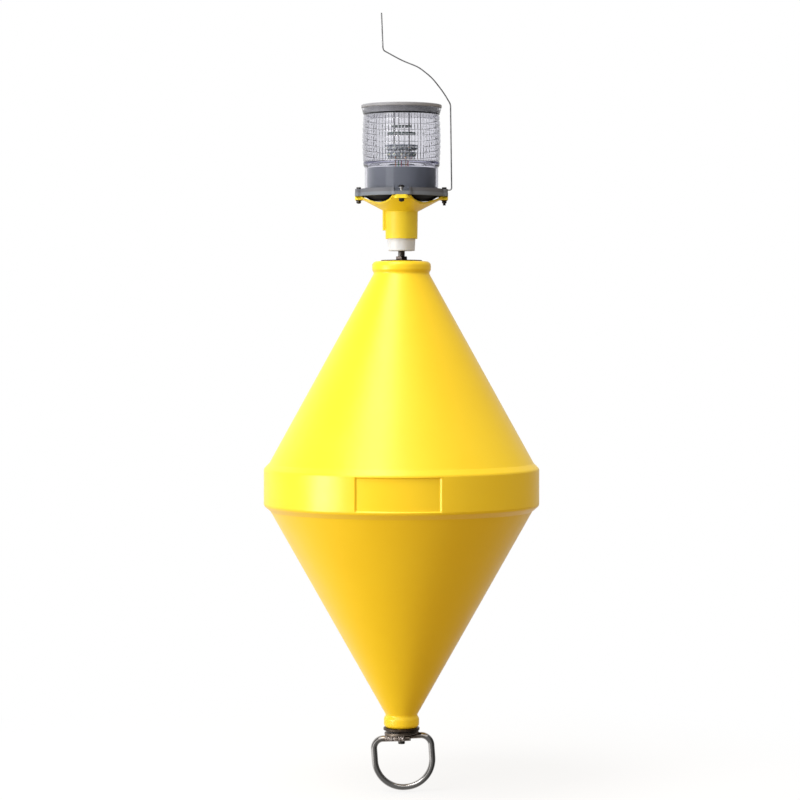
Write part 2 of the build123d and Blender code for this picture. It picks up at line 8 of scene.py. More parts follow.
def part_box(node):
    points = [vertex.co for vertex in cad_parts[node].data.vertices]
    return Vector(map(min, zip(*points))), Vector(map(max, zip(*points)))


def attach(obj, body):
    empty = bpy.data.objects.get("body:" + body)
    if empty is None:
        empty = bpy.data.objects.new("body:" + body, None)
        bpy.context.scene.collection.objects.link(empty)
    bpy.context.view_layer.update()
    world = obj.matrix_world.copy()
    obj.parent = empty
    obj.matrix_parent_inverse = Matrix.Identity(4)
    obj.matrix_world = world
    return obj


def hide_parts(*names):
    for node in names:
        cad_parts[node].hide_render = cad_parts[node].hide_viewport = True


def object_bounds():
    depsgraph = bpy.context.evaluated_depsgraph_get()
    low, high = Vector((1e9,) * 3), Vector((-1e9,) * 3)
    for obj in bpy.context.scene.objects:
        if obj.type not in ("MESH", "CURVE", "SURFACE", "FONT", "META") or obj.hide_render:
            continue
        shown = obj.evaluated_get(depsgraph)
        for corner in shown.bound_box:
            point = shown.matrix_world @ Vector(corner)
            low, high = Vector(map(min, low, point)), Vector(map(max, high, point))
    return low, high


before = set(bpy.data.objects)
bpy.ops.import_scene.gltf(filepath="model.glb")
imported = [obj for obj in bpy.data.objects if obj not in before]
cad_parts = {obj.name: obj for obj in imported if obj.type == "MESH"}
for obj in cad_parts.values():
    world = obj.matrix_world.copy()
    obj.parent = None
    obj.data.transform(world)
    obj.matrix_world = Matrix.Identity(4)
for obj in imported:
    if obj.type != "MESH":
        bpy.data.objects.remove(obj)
cad_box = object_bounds()
body = "root"


# Camera. It stands in front of the buoy, level with the upper cone's top end, and looks slightly
# down, so that the lantern is seen a little from below and the belly a little from above.
picture_width = 800
focal_pixels = 2571
axis_pixel = 401.5
camera_distance = 5.6
camera_height = 0.345
camera_pitch = math.radians(1.595)
aside = (axis_pixel - picture_width / 2) / focal_pixels * camera_distance
camera_data = bpy.data.cameras.new("camera")
camera_data.sensor_width = 36
camera_data.lens = focal_pixels / picture_width * camera_data.sensor_width
camera_data.clip_end = 100
camera = bpy.data.objects.new("camera", camera_data)
camera.location = (-aside, -camera_distance, camera_height)
camera.rotation_euler = (math.pi / 2 - camera_pitch, 0, 0)
bpy.context.scene.collection.objects.link(camera)
bpy.context.scene.camera = camera


# The float. One rotomoulded polyethylene shell filled with foam: two cones, a proud belly band,
# rounded lips and a sunk panel at the front of the band. It has the mould's fine satin grain.
def rounded_outline(rows, step=math.radians(10)):
    """Points of a closed outline. A row is across, up and the radius of that corner's round."""
    points = []
    for index, (across, up, radius) in enumerate(rows):
        corner = Vector((across, up))
        before = Vector(rows[index - 1][:2]) - corner
        after = Vector(rows[(index + 1) % len(rows)][:2]) - corner
        if radius == 0:
            points.append(corner)
            continue
        turn = math.pi - before.angle(after)
        reach = radius * math.tan(turn / 2)
        start = corner + before.normalized() * reach
        end = corner + after.normalized() * reach
        middle = (before.normalized() + after.normalized()).normalized()
        centre = corner + middle * radius / math.cos(turn / 2)
        count = max(2, math.ceil(turn / step))
        first, last = start - centre, end - centre
        for part in range(count + 1):
            share = part / count
            spoke = first * math.sin((1 - share) * turn) + last * math.sin(share * turn)
            points.append(centre + spoke / math.sin(turn))
    return points


def new_piece(name, mesh_parts, smooth_angle=35):
    """Object at the origin from a bmesh, with its doubles merged and its faces turned outwards."""
    bmesh.ops.remove_doubles(mesh_parts, verts=mesh_parts.verts, dist=2e-6)
    bmesh.ops.recalc_face_normals(mesh_parts, faces=mesh_parts.faces)
    mesh = bpy.data.meshes.new(name)
    mesh_parts.to_mesh(mesh)
    mesh_parts.free()
    mesh.shade_smooth()
    mesh.set_sharp_from_angle(angle=math.radians(smooth_angle))
    piece = bpy.data.objects.new(name, mesh)
    bpy.context.scene.collection.objects.link(piece)
    return piece


def turn_outline(parts, points, angles, shape=None):
    """Adds the closed outline, turned about the axis at these angles. shape may move a point."""
    columns = []
    for angle in angles:
        column = []
        for point in points:
            radius, height = shape(point.x, point.y, angle) if shape else (point.x, point.y)
            place = (radius * math.cos(angle), radius * math.sin(angle), height)
            column.append(parts.verts.new(place))
        columns.append(column)
    for index, column in enumerate(columns):
        beside = columns[(index + 1) % len(columns)]
        for row in range(len(points)):
            above = (row + 1) % len(points)
            parts.faces.new((column[row], beside[row], beside[above], column[above]))


def even_angles(count):
    """Angles that divide the full turn evenly."""
    return [2 * math.pi * index / count for index in range(count)]


def put_on(piece, material, slot, *nodes):
    """Gives a piece its material, lets it ride, and hides the nodes that it stands for. Its slot is
    not used.
    """
    piece.data.materials.clear()
    piece.data.materials.append(material)
    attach(piece, body)
    if nodes:
        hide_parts(*nodes)


float_low, float_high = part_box("hull")
float_radius = float_high.x
bore_radius = 0.0085
band_half = 0.040
shoulder_half = 0.052
lower_shoulder, upper_shoulder = 0.2855, 0.2880
lower_lip, lower_lip_height = 0.0386, 0.0205
lower_neck, lower_neck_height = 0.0340, 0.0275
upper_lip, upper_lip_height = 0.0640, 0.019
upper_neck, upper_neck_height = 0.0600, 0.026
bottom_round, top_round, lip_round = 0.0085, 0.010, 0.009
neck_round, shoulder_round, band_round = 0.006, 0.005, 0.009
float_outline = rounded_outline((
    (bore_radius, float_low.z, 0),
    (lower_lip, float_low.z, bottom_round),
    (lower_lip, float_low.z + lower_lip_height, lip_round),
    (lower_neck, float_low.z + lower_neck_height, neck_round),
    (lower_shoulder, -shoulder_half, shoulder_round),
    (float_radius, -band_half, band_round),
    (float_radius, band_half, band_round),
    (upper_shoulder, shoulder_half, shoulder_round),
    (upper_neck, float_high.z - upper_neck_height, neck_round),
    (upper_lip, float_high.z - upper_lip_height, lip_round),
    (upper_lip, float_high.z, top_round),
    (bore_radius, float_high.z, 0),
))

# The panel is sunk into the band. Columns and rows of the turned mesh follow its mouth and its
# floor, and other columns keep some room from them. Lengths within the slack count as equal.
panel_half_angle = math.radians(17.6)
panel_half_height = 0.0375
panel_depth = 0.0035
panel_draft = 0.0035
panel_middle = math.radians(-91.4)
draft_angle = panel_draft / float_radius
panel_edges = [panel_half_angle, panel_half_angle - draft_angle]
float_columns = 320
column_room = 0.004
slack = 1e-6


def from_panel(angle):
    """Angle between a place on the band and the panel's middle."""
    return abs(math.remainder(angle - panel_middle, 2 * math.pi))


float_angles = [
    angle for angle in even_angles(float_columns)
    if all(abs(from_panel(angle) - edge) > column_room for edge in panel_edges)
]
float_angles += [panel_middle + side * edge for edge in panel_edges for side in (-1, 1)]
float_angles = sorted(angle % (2 * math.pi) for angle in float_angles)
panel_rows = (panel_half_height, panel_half_height - panel_draft)
floor_rows = (-0.06, -0.02, 0.02, 0.06)
band_points = [Vector((float_radius, sign * row)) for sign in (-1, 1) for row in panel_rows]
band_points += [Vector((float_radius, float_radius * share)) for share in floor_rows]
band_points.sort(key=lambda point: point.y)
band_start = 1 + max(
    index for index, point in enumerate(float_outline)
    if point.x > float_radius - slack and point.y < 0
)
float_outline[band_start:band_start] = band_points


def sink_panel(radius, height, angle):
    """Moves a point of the band down to the panel's floor where it lies inside the panel."""
    inside = from_panel(angle) < panel_edges[1] + slack and abs(height) < panel_rows[1] + slack
    sunk = inside and radius > float_radius - slack
    return (radius - panel_depth if sunk else radius), height


float_parts = bmesh.new()
turn_outline(float_parts, float_outline, float_angles, sink_panel)
float_shell = new_piece("float_shell", float_parts, smooth_angle=25)
soften = float_shell.modifiers.new("soften", "BEVEL")
soften.width = 0.0009
soften.segments = 3
soften.limit_method = "ANGLE"
soften.angle_limit = math.radians(25)
soften.harden_normals = True


def shader_input(material, name):
    """Input of a material's shader."""
    return material.node_tree.nodes["Principled BSDF"].inputs[name]


def plain_material(name, colour, roughness, **sockets):
    """Material with one shader. Sockets are given by name, with _ for a space."""
    material = bpy.data.materials.new(name)
    material.use_nodes = True
    shader_input(material, "Base Color").default_value = (*colour, 1)
    shader_input(material, "Roughness").default_value = roughness
    for socket, value in sockets.items():
        shader_input(material, socket.replace("_", " ")).default_value = value
    return material


def add_node(owner, kind, **values):
    """Node in a material or the world. A value sets the input of its name, or else a property."""
    node = owner.node_tree.nodes.new(kind)
    for name, value in values.items():
        socket = name.replace("_", " ")
        if socket in node.inputs:
            node.inputs[socket].default_value = value
        else:
            setattr(node, name, value)
    return node


def surface_noise(material, scale, detail=3, roughness=0.5, stretch=(1, 1, 1)):
    """Noise fixed to the piece, in metres; its Fac output runs from 0 to 1."""
    place = add_node(material, "ShaderNodeTexCoord")
    mapping = add_node(material, "ShaderNodeMapping", Scale=stretch)
    noise = add_node(
        material, "ShaderNodeTexNoise", Scale=scale, Detail=detail, Roughness=roughness,
    )
    material.node_tree.links.new(place.outputs["Object"], mapping.inputs["Vector"])
    material.node_tree.links.new(mapping.outputs["Vector"], noise.inputs["Vector"])
    return noise.outputs["Fac"]


def vary_colour(material, factor, stops):
    """Runs a colour ramp into the base colour. A stop is its place and its colour."""
    ramp = add_node(material, "ShaderNodeValToRGB")
    elements = ramp.color_ramp.elements
    while len(elements) < len(stops):
        elements.new(0.5)
    for element, (place, colour) in zip(elements, stops):
        element.position = place
        element.color = (*colour, 1)
    links = material.node_tree.links
    links.new(factor, ramp.inputs["Fac"])
    links.new(ramp.outputs["Color"], shader_input(material, "Base Color"))


def vary_roughness(material, factor, low, high):
    """Runs a factor into the roughness, between two values."""
    spread = add_node(material, "ShaderNodeMapRange", To_Min=low, To_Max=high)
    links = material.node_tree.links
    links.new(factor, spread.inputs["Value"])
    links.new(spread.outputs["Result"], shader_input(material, "Roughness"))


def raise_surface(material, *layers):
    """Bumps, each a factor, a height in metres and a strength, laid over each other."""
    links = material.node_tree.links
    previous = None
    for factor, height, strength in layers:
        bump = add_node(material, "ShaderNodeBump", Distance=height, Strength=strength)
        links.new(factor, bump.inputs["Height"])
        if previous:
            links.new(previous.outputs["Normal"], bump.inputs["Normal"])
        previous = bump
    links.new(previous.outputs["Normal"], shader_input(material, "Normal"))


float_plastic = plain_material(
    "float_polyethylene", (0.95, 0.66, 0.02), 0.34, Specular_IOR_Level=0.45,
)
vary_colour(float_plastic, surface_noise(float_plastic, 3.5, detail=5, roughness=0.6), (
    (0.25, (0.935, 0.635, 0.014)),
    (0.55, (0.950, 0.660, 0.018)),
    (0.80, (0.960, 0.685, 0.024)),
))
vary_roughness(float_plastic, surface_noise(float_plastic, 24, detail=4), 0.29, 0.42)
raise_surface(
    float_plastic,
    (surface_noise(float_plastic, 900, detail=2), 0.0003, 0.25),
    (surface_noise(float_plastic, 14, detail=3), 0.0022, 0.22),
    (surface_noise(float_plastic, 60, detail=3, stretch=(1, 1, 0.25)), 0.0006, 0.18),
)
put_on(float_shell, float_plastic, "float_yellow", "hull")


# Through rod and what clamps it on the upper lip: an M16 steel rod, threaded at both ends, a thin
# dark washer and a hex nut. The rod runs down the float's bore and ends in a stub under the ring.
def cover(node, material):
    """Gives a CAD node its material in place of the plain one."""
    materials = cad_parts[node].data.materials
    materials.clear()
    materials.append(material)


rod_low, rod_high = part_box("through_rod")
rod_radius = rod_high.x
thread_pitch = 0.002
thread_depth = 0.0012
thread_columns = 28
rows_per_turn = 8
lower_thread = 0.036
thread_in_bushing = 0.004
root_share, flank_share = 0.12, 0.24
rod_core = 0.0004
thread_ends = (
    (rod_low.z, rod_low.z + lower_thread),
    (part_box("top_washer")[0].z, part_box("rod_bushing")[0].z + thread_in_bushing),
)


def thread_radius(height, angle):
    """Radius of the cut thread: flat crests and roots joined by straight flanks."""
    phase = (height / thread_pitch - angle / (2 * math.pi)) % 1
    sink = min(max((abs(phase - 0.5) - root_share) / flank_share, 0), 1)
    return rod_radius - thread_depth * sink


rod_parts = bmesh.new()
rod_heights = [rod_low.z]
for end_low, end_high in thread_ends:
    length = end_high - end_low
    row_count = round(length / thread_pitch * rows_per_turn)
    rod_heights += [end_low + length * row / row_count for row in range(row_count + 1)]
rod_heights += [rod_high.z]
rod_outline = [Vector((rod_core, rod_low.z))]
rod_outline += [Vector((rod_radius, height)) for height in sorted(set(rod_heights))]
rod_outline += [Vector((rod_core, rod_high.z))]


def cut_thread(radius, height, angle):
    """Cuts the thread into the rod where it has one, with a short lead at the rod's own ends."""
    if radius < rod_radius:
        return radius, height
    lead = min(height - rod_low.z, rod_high.z - height)
    threaded = any(low - slack <= height <= high + slack for low, high in thread_ends)
    cut = thread_radius(height, angle) if threaded else radius
    return min(cut, rod_radius - thread_depth + max(lead, 0)), height


turn_outline(rod_parts, rod_outline, even_angles(thread_columns), cut_thread)
rod_piece = new_piece("threaded_rod", rod_parts, smooth_angle=50)
rod_steel = plain_material("rod_steel", (0.30, 0.28, 0.26), 0.34, Metallic=1.0)
vary_colour(rod_steel, surface_noise(rod_steel, 160, detail=4), (
    (0.30, (0.14, 0.125, 0.11)),
    (0.60, (0.32, 0.30, 0.28)),
    (0.80, (0.42, 0.40, 0.38)),
))
vary_roughness(rod_steel, surface_noise(rod_steel, 300), 0.25, 0.45)
put_on(rod_piece, rod_steel, "rod_steel", "through_rod")

nut_steel = plain_material("nut_steel", (0.16, 0.145, 0.13), 0.38, Metallic=1.0)
vary_colour(nut_steel, surface_noise(nut_steel, 120, detail=5), (
    (0.30, (0.055, 0.045, 0.040)),
    (0.60, (0.15, 0.125, 0.11)),
    (0.85, (0.26, 0.23, 0.21)),
))
raise_surface(nut_steel, (surface_noise(nut_steel, 700), 0.0003, 0.3))
cover("top_nut", nut_steel)

washer_steel = plain_material("washer_dark", (0.070, 0.058, 0.048), 0.42, Metallic=0.8)
vary_colour(washer_steel, surface_noise(washer_steel, 60, detail=5), (
    (0.30, (0.045, 0.035, 0.028)),
    (0.60, (0.085, 0.064, 0.048)),
    (0.85, (0.200, 0.160, 0.125)),
))
raise_surface(washer_steel, (surface_noise(washer_steel, 400), 0.0003, 0.4))
cover("top_washer", washer_steel)


# Rod bushing. A turned white nylon plug on the rod's top end, on which the lantern's bracket sits.
# Its outer face keeps the fine rings of the lathe tool, and its lower edge is broken round.
nylon = plain_material(
    "bushing_nylon", (0.66, 0.70, 0.755), 0.42,
    Subsurface_Weight=0.25, Subsurface_Scale=0.004, Subsurface_Radius=(1.0, 0.9, 0.8),
)
vary_colour(nylon, surface_noise(nylon, 40, detail=4), (
    (0.30, (0.63, 0.67, 0.725)),
    (0.70, (0.69, 0.73, 0.785)),
))
raise_surface(nylon, (surface_noise(nylon, 900, detail=2, stretch=(0.02, 0.02, 1)), 0.0003, 0.35))
cover("rod_bushing", nylon)


# Lantern bracket. One yellow moulding: a tapered socket on the bushing, a funnel, and four arms
# that carry the lantern's bolts. Its skin has the mould's grain and faint draw lines.
bracket_plastic = plain_material("bracket_plastic", (0.86, 0.67, 0.022), 0.44)
vary_colour(bracket_plastic, surface_noise(bracket_plastic, 18, detail=5), (
    (0.25, (0.82, 0.625, 0.017)),
    (0.55, (0.86, 0.670, 0.022)),
    (0.80, (0.89, 0.705, 0.030)),
))
vary_roughness(bracket_plastic, surface_noise(bracket_plastic, 70, detail=4), 0.38, 0.54)
raise_surface(
    bracket_plastic,
    (surface_noise(bracket_plastic, 1200, detail=2), 0.0002, 0.3),
    (surface_noise(bracket_plastic, 90, detail=3, stretch=(1, 1, 0.15)), 0.0005, 0.2),
)
cover("lantern_bracket", bracket_plastic)


# Lantern base. Two grey flange layers stacked on the arms, the upper one notched round the bolts,
# and the cylinder that stands in the clear sleeve. All of it is moulded plastic.
base_plastic = plain_material("base_plastic", (0.133, 0.143, 0.168), 0.50, Specular_IOR_Level=0.2)
vary_colour(base_plastic, surface_noise(base_plastic, 22, detail=5), (
    (0.25, (0.119, 0.129, 0.152)),
    (0.60, (0.133, 0.143, 0.168)),
    (0.85, (0.150, 0.160, 0.185)),
))
vary_roughness(base_plastic, surface_noise(base_plastic, 90, detail=4), 0.40, 0.55)
raise_surface(base_plastic, (surface_noise(base_plastic, 1100, detail=2), 0.0002, 0.3))
cover("lantern_base", base_plastic)


def height_on(material):
    """Height of a place on the piece, in metres."""
    place = add_node(material, "ShaderNodeTexCoord")
    split = add_node(material, "ShaderNodeSeparateXYZ")
    material.node_tree.links.new(place.outputs["Object"], split.inputs["Vector"])
    return split.outputs["Z"]


def with_grain(material, mask, grain, share):
    """Mixes a share of noise into a mask, so that neither of its two tones is flat."""
    mix = add_node(material, "ShaderNodeMix", data_type="FLOAT")
    mix.inputs["Factor"].default_value = share
    material.node_tree.links.new(mask, mix.inputs["A"])
    material.node_tree.links.new(grain, mix.inputs["B"])
    return mix.outputs["Result"]


# The lower layer is grey. The shallow dish under it is painted near black, as painted shade for the
# shadow under the flange, and its gloss is lowered there too.
dish_depth, dish_blend = 0.009, 0.0004
dish_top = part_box("base_plate")[0].z + dish_depth
plate_plastic = plain_material("base_plate_plastic", (0.190, 0.200, 0.225), 0.48)
dish_shade_step = add_node(
    plate_plastic, "ShaderNodeMapRange",
    From_Min=dish_top - dish_blend, From_Max=dish_top + dish_blend,
)
plate_links = plate_plastic.node_tree.links
plate_links.new(height_on(plate_plastic), dish_shade_step.inputs["Value"])
dish_shade_mask = dish_shade_step.outputs["Result"]
plate_grain = surface_noise(plate_plastic, 30, detail=5)
# Painted shade: the near black stop darkens the dish under the flange, where shadow falls.
vary_colour(plate_plastic, with_grain(plate_plastic, dish_shade_mask, plate_grain, 0.12), (
    (0.10, (0.008, 0.009, 0.016)),
    (0.85, (0.140, 0.162, 0.198)),
    (1.00, (0.176, 0.200, 0.238)),
))
plate_gloss = add_node(plate_plastic, "ShaderNodeMapRange", To_Min=0.06, To_Max=0.40)
plate_links.new(dish_shade_mask, plate_gloss.inputs["Value"])
plate_links.new(plate_gloss.outputs["Result"], shader_input(plate_plastic, "Specular IOR Level"))
raise_surface(plate_plastic, (surface_noise(plate_plastic, 900, detail=2), 0.0002, 0.3))
cover("base_plate", plate_plastic)


# Drum lens. One clear moulding: a plain sleeve round the base, a ledge, then the lens itself with
# barrelled rings on both faces and narrow upright flutes inside, a flat roof, and a flared rim that
# carries the lid. Thin walls of even thickness, so that the boards inside show almost undistorted.
lens_low, lens_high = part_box("lens_drum")
sleeve_inner, sleeve_outer, sleeve_height = 0.0774, 0.0800, 0.04776
lens_foot = lens_low.z + sleeve_height
ring_pitch, ring_count, ring_sag = 0.0127, 9, 0.0010
ring_notch, notch_half = 0.0003, 0.0005
lens_top = lens_foot + ring_count * ring_pitch
lens_end, lens_swell, lens_wall = 0.0826, 0.0026, 0.0030
ledge_low, ledge_high, ledge_inner = lens_foot + 0.007, lens_foot + 0.010, 0.0650
rim_seat, roof_low = lens_top + 0.0015, lens_top - 0.0010
rim_foot, rim_inner, rim_width, rim_edge_height = 0.0831, 0.0817, 0.0014, 0.0008
edge_break, corner_break = 0.0004, 0.0006
inner_foot, inner_top = ledge_high + 0.001, roof_low - edge_break
ring_steps = 7


def ring_radius(height, notch=0.0):
    """Radius of the lens's face: a swelling drum, a bulge at each ring, a notch between two."""
    share = 2 * (height - lens_foot) / (lens_top - lens_foot) - 1
    along = (height - lens_foot) / ring_pitch % 1
    bulge = ring_sag * (1 - (2 * along - 1) ** 2) - ring_sag
    away = min(along, 1 - along) * ring_pitch
    cut = notch * max(0, 1 - away / notch_half)
    return lens_end + lens_swell * (1 - share ** 2) + bulge - cut


lens_heights = [
    lens_foot + ring_pitch * step / ring_steps for step in range(ring_count * ring_steps + 1)
]
lens_heights += [
    lens_foot + ring_pitch * ring + side * notch_half
    for ring in range(1, ring_count) for side in (-1, 1)
]
lens_heights.sort()
lens_outline = [
    Vector((sleeve_inner, lens_low.z)),
    Vector((sleeve_outer - edge_break, lens_low.z)),
    Vector((sleeve_outer, lens_low.z + edge_break)),
    Vector((sleeve_outer, lens_foot - corner_break)),
    Vector((sleeve_outer + edge_break, lens_foot)),
    Vector((ring_radius(lens_foot), lens_foot + edge_break)),
]
lens_outline += [
    Vector((ring_radius(height, ring_notch), height)) for height in lens_heights[1:-1]
]
lens_outline += [
    Vector((rim_foot, lens_top + edge_break)),
    Vector((lens_high.x - corner_break / 2, lens_high.z - rim_edge_height)),
    Vector((lens_high.x - corner_break, lens_high.z)),
    Vector((lens_high.x - rim_width, lens_high.z)),
    Vector((rim_inner, rim_seat + edge_break)),
    Vector((rim_inner - edge_break, rim_seat)),
    Vector((0, rim_seat)),
    Vector((0, roof_low)),
    Vector((ring_radius(roof_low) - lens_wall - corner_break, roof_low)),
]
inner_heights = [height for height in reversed(lens_heights) if inner_foot < height < inner_top]
lens_outline += [Vector((ring_radius(height) - lens_wall, height)) for height in inner_heights]
lens_outline += [
    Vector((ring_radius(ledge_high) - lens_wall, ledge_high + edge_break)),
    Vector((ring_radius(ledge_high) - lens_wall - corner_break, ledge_high)),
    Vector((ledge_inner + edge_break, ledge_high)),
    Vector((ledge_inner, ledge_high - edge_break)),
    Vector((ledge_inner, ledge_low + edge_break)),
    Vector((ledge_inner + edge_break, ledge_low)),
    Vector((sleeve_inner - corner_break, ledge_low)),
    Vector((sleeve_inner, ledge_low - corner_break)),
]

# At each flute the mesh has a column on its edges and its root, and two on the wall beside it.
flute_count, flute_half, flute_depth = 72, math.radians(0.6), 0.0006
flute_steps = [flute_half * share for share in (-1, 0, 1, 2.8, 4.6)]
wall_from = 0.076
lens_angles = [start + step for start in even_angles(flute_count) for step in flute_steps]


def cut_flutes(radius, height, angle):
    """Sinks a narrow groove into the lens's inner wall at each flute."""
    on_wall = wall_from < radius < ring_radius(height) - lens_wall + slack
    if not on_wall or not inner_foot < height < inner_top:
        return radius, height
    pitch = 2 * math.pi / flute_count
    away = abs(math.remainder(angle, pitch)) / flute_half
    return radius + flute_depth * max(0, 1 - away), height


lens_parts = bmesh.new()
turn_outline(lens_parts, lens_outline, lens_angles, cut_flutes)
lens_body = new_piece("lens_body", lens_parts, smooth_angle=28)
clear_plastic = plain_material(
    "clear_lens", (0.990, 0.988, 0.995), 0.02,
    Transmission_Weight=1.0, IOR=1.46, Specular_IOR_Level=0.15,
)
raise_surface(clear_plastic, (surface_noise(clear_plastic, 110, detail=2), 0.0003, 0.15))
lens_tint = add_node(
    clear_plastic, "ShaderNodeVolumeAbsorption", Color=(0.53, 0.53, 0.66, 1), Density=78.0,
)
lens_output = clear_plastic.node_tree.nodes["Material Output"]
clear_plastic.node_tree.links.new(lens_tint.outputs["Volume"], lens_output.inputs["Volume"])
put_on(lens_body, clear_plastic, "clear_lens", "lens_drum")
lens_body.visible_shadow = False


# Lid. A grey moulded disc with a rounded edge closes the lantern, and the skirt under it plugs the
# lens's clear rim.
lid_plastic = plain_material("lid_plastic", (0.265, 0.275, 0.300), 0.40)
vary_colour(lid_plastic, surface_noise(lid_plastic, 26, detail=5), (
    (0.25, (0.235, 0.245, 0.270)),
    (0.60, (0.265, 0.275, 0.300)),
    (0.85, (0.305, 0.315, 0.340)),
))
vary_roughness(lid_plastic, surface_noise(lid_plastic, 80, detail=4), 0.32, 0.50)
raise_surface(lid_plastic, (surface_noise(lid_plastic, 1000, detail=2), 0.0002, 0.3))
cover("cap_disc", lid_plastic)

skirt_plastic = plain_material("skirt_plastic", (0.190, 0.190, 0.205), 0.42)
vary_colour(skirt_plastic, surface_noise(skirt_plastic, 40, detail=4), (
    (0.30, (0.165, 0.165, 0.180)),
    (0.75, (0.215, 0.215, 0.230)),
))
cover("cap_skirt", skirt_plastic)


# Lamp boards. Two ring boards with their emitters hang on four posts under the lid, with a driver
# board and a small cap board above them, and five coloured wires come up from the base.
board_laminate = plain_material("board_laminate", (0.035, 0.075, 0.060), 0.35)
vary_colour(board_laminate, surface_noise(board_laminate, 260, detail=3), (
    (0.35, (0.025, 0.050, 0.042)),
    (0.55, (0.050, 0.095, 0.080)),
    (0.70, (0.200, 0.200, 0.170)),
))
for board in ("driver_board", "cap_board"):
    cover(board, board_laminate)
led_board = plain_material("led_board", (0.22, 0.25, 0.28), 0.35)
vary_colour(led_board, surface_noise(led_board, 220, detail=3), (
    (0.35, (0.10, 0.12, 0.13)),
    (0.50, (0.24, 0.27, 0.30)),
    (0.65, (0.46, 0.48, 0.52)),
))
for board in ("lower_led_board", "upper_led_board"):
    cover(board, led_board)

# Node tree that repeats a part. Each copy is moved and turned one step further than the one before,
# and the copies' sizes scatter about 1 by the share given.
copies_tree = bpy.data.node_groups.new("copies", "GeometryNodeTree")
copies_inputs = {}
for label, kind in (
    ("Part", "NodeSocketObject"),
    ("Count", "NodeSocketInt"),
    ("Move", "NodeSocketVector"),
    ("Turn", "NodeSocketFloat"),
    ("Scatter", "NodeSocketFloat"),
    ("Seed", "NodeSocketInt"),
    ("Material", "NodeSocketMaterial"),
):
    socket = copies_tree.interface.new_socket(label, in_out="INPUT", socket_type=kind)
    copies_inputs[label] = socket.identifier
copies_tree.interface.new_socket("Geometry", in_out="OUTPUT", socket_type="NodeSocketGeometry")
copies_given = copies_tree.nodes.new("NodeGroupInput")
copies_result = copies_tree.nodes.new("NodeGroupOutput")
copy_part = copies_tree.nodes.new("GeometryNodeObjectInfo")
copy_points = copies_tree.nodes.new("GeometryNodePoints")
copy_index = copies_tree.nodes.new("GeometryNodeInputIndex")
copy_place = copies_tree.nodes.new("ShaderNodeVectorMath")
copy_place.operation = "SCALE"
copy_angle = copies_tree.nodes.new("ShaderNodeMath")
copy_angle.operation = "MULTIPLY"
copy_turn = copies_tree.nodes.new("ShaderNodeCombineXYZ")
copy_chance = copies_tree.nodes.new("FunctionNodeRandomValue")
copy_chance.inputs["Min"].default_value = -1
copy_size = copies_tree.nodes.new("ShaderNodeMath")
copy_size.operation = "MULTIPLY_ADD"
copy_size.inputs[2].default_value = 1
copy_instances = copies_tree.nodes.new("GeometryNodeInstanceOnPoints")
copy_realize = copies_tree.nodes.new("GeometryNodeRealizeInstances")
copy_material = copies_tree.nodes.new("GeometryNodeSetMaterial")
for source, output, target, socket in (
    (copies_given, "Part", copy_part, "Object"),
    (copies_given, "Move", copy_place, 0),
    (copy_index, "Index", copy_place, "Scale"),
    (copies_given, "Count", copy_points, "Count"),
    (copy_place, "Vector", copy_points, "Position"),
    (copy_index, "Index", copy_angle, 0),
    (copies_given, "Turn", copy_angle, 1),
    (copy_angle, "Value", copy_turn, "Z"),
    (copies_given, "Seed", copy_chance, "Seed"),
    (copy_chance, 1, copy_size, 0),
    (copies_given, "Scatter", copy_size, 1),
    (copy_points, "Points", copy_instances, "Points"),
    (copy_part, "Geometry", copy_instances, "Instance"),
    (copy_turn, "Vector", copy_instances, "Rotation"),
    (copy_size, "Value", copy_instances, "Scale"),
    (copy_instances, "Instances", copy_realize, "Geometry"),
    (copy_realize, "Geometry", copy_material, "Geometry"),
    (copies_given, "Material", copy_material, "Material"),
    (copy_material, "Geometry", copies_result, "Geometry"),
):
    copies_tree.links.new(source.outputs[output], target.inputs[socket])


def repeat_part(name, part, material, slot, count, turn=0.0, move=(0, 0, 0), scatter=0.0, seed=1):
    """Piece made of copies of a part, which is taken away afterwards."""
    holder = bpy.data.objects.new(name + "_holder", bpy.data.meshes.new(name + "_holder"))
    bpy.context.scene.collection.objects.link(holder)
    modifier = holder.modifiers.new("copies", "NODES")
    modifier.node_group = copies_tree
    for label, value in (
        ("Part", part), ("Count", count), ("Move", move), ("Turn", turn),
        ("Scatter", scatter), ("Seed", seed), ("Material", material),
    ):
        modifier[copies_inputs[label]] = value
    evaluated = holder.evaluated_get(bpy.context.evaluated_depsgraph_get())
    mesh = bpy.data.meshes.new_from_object(evaluated)
    mesh.name = name
    piece = bpy.data.objects.new(name, mesh)
    bpy.context.scene.collection.objects.link(piece)
    bpy.data.objects.remove(holder)
    bpy.data.objects.remove(part)
    put_on(piece, material, slot)
    return piece


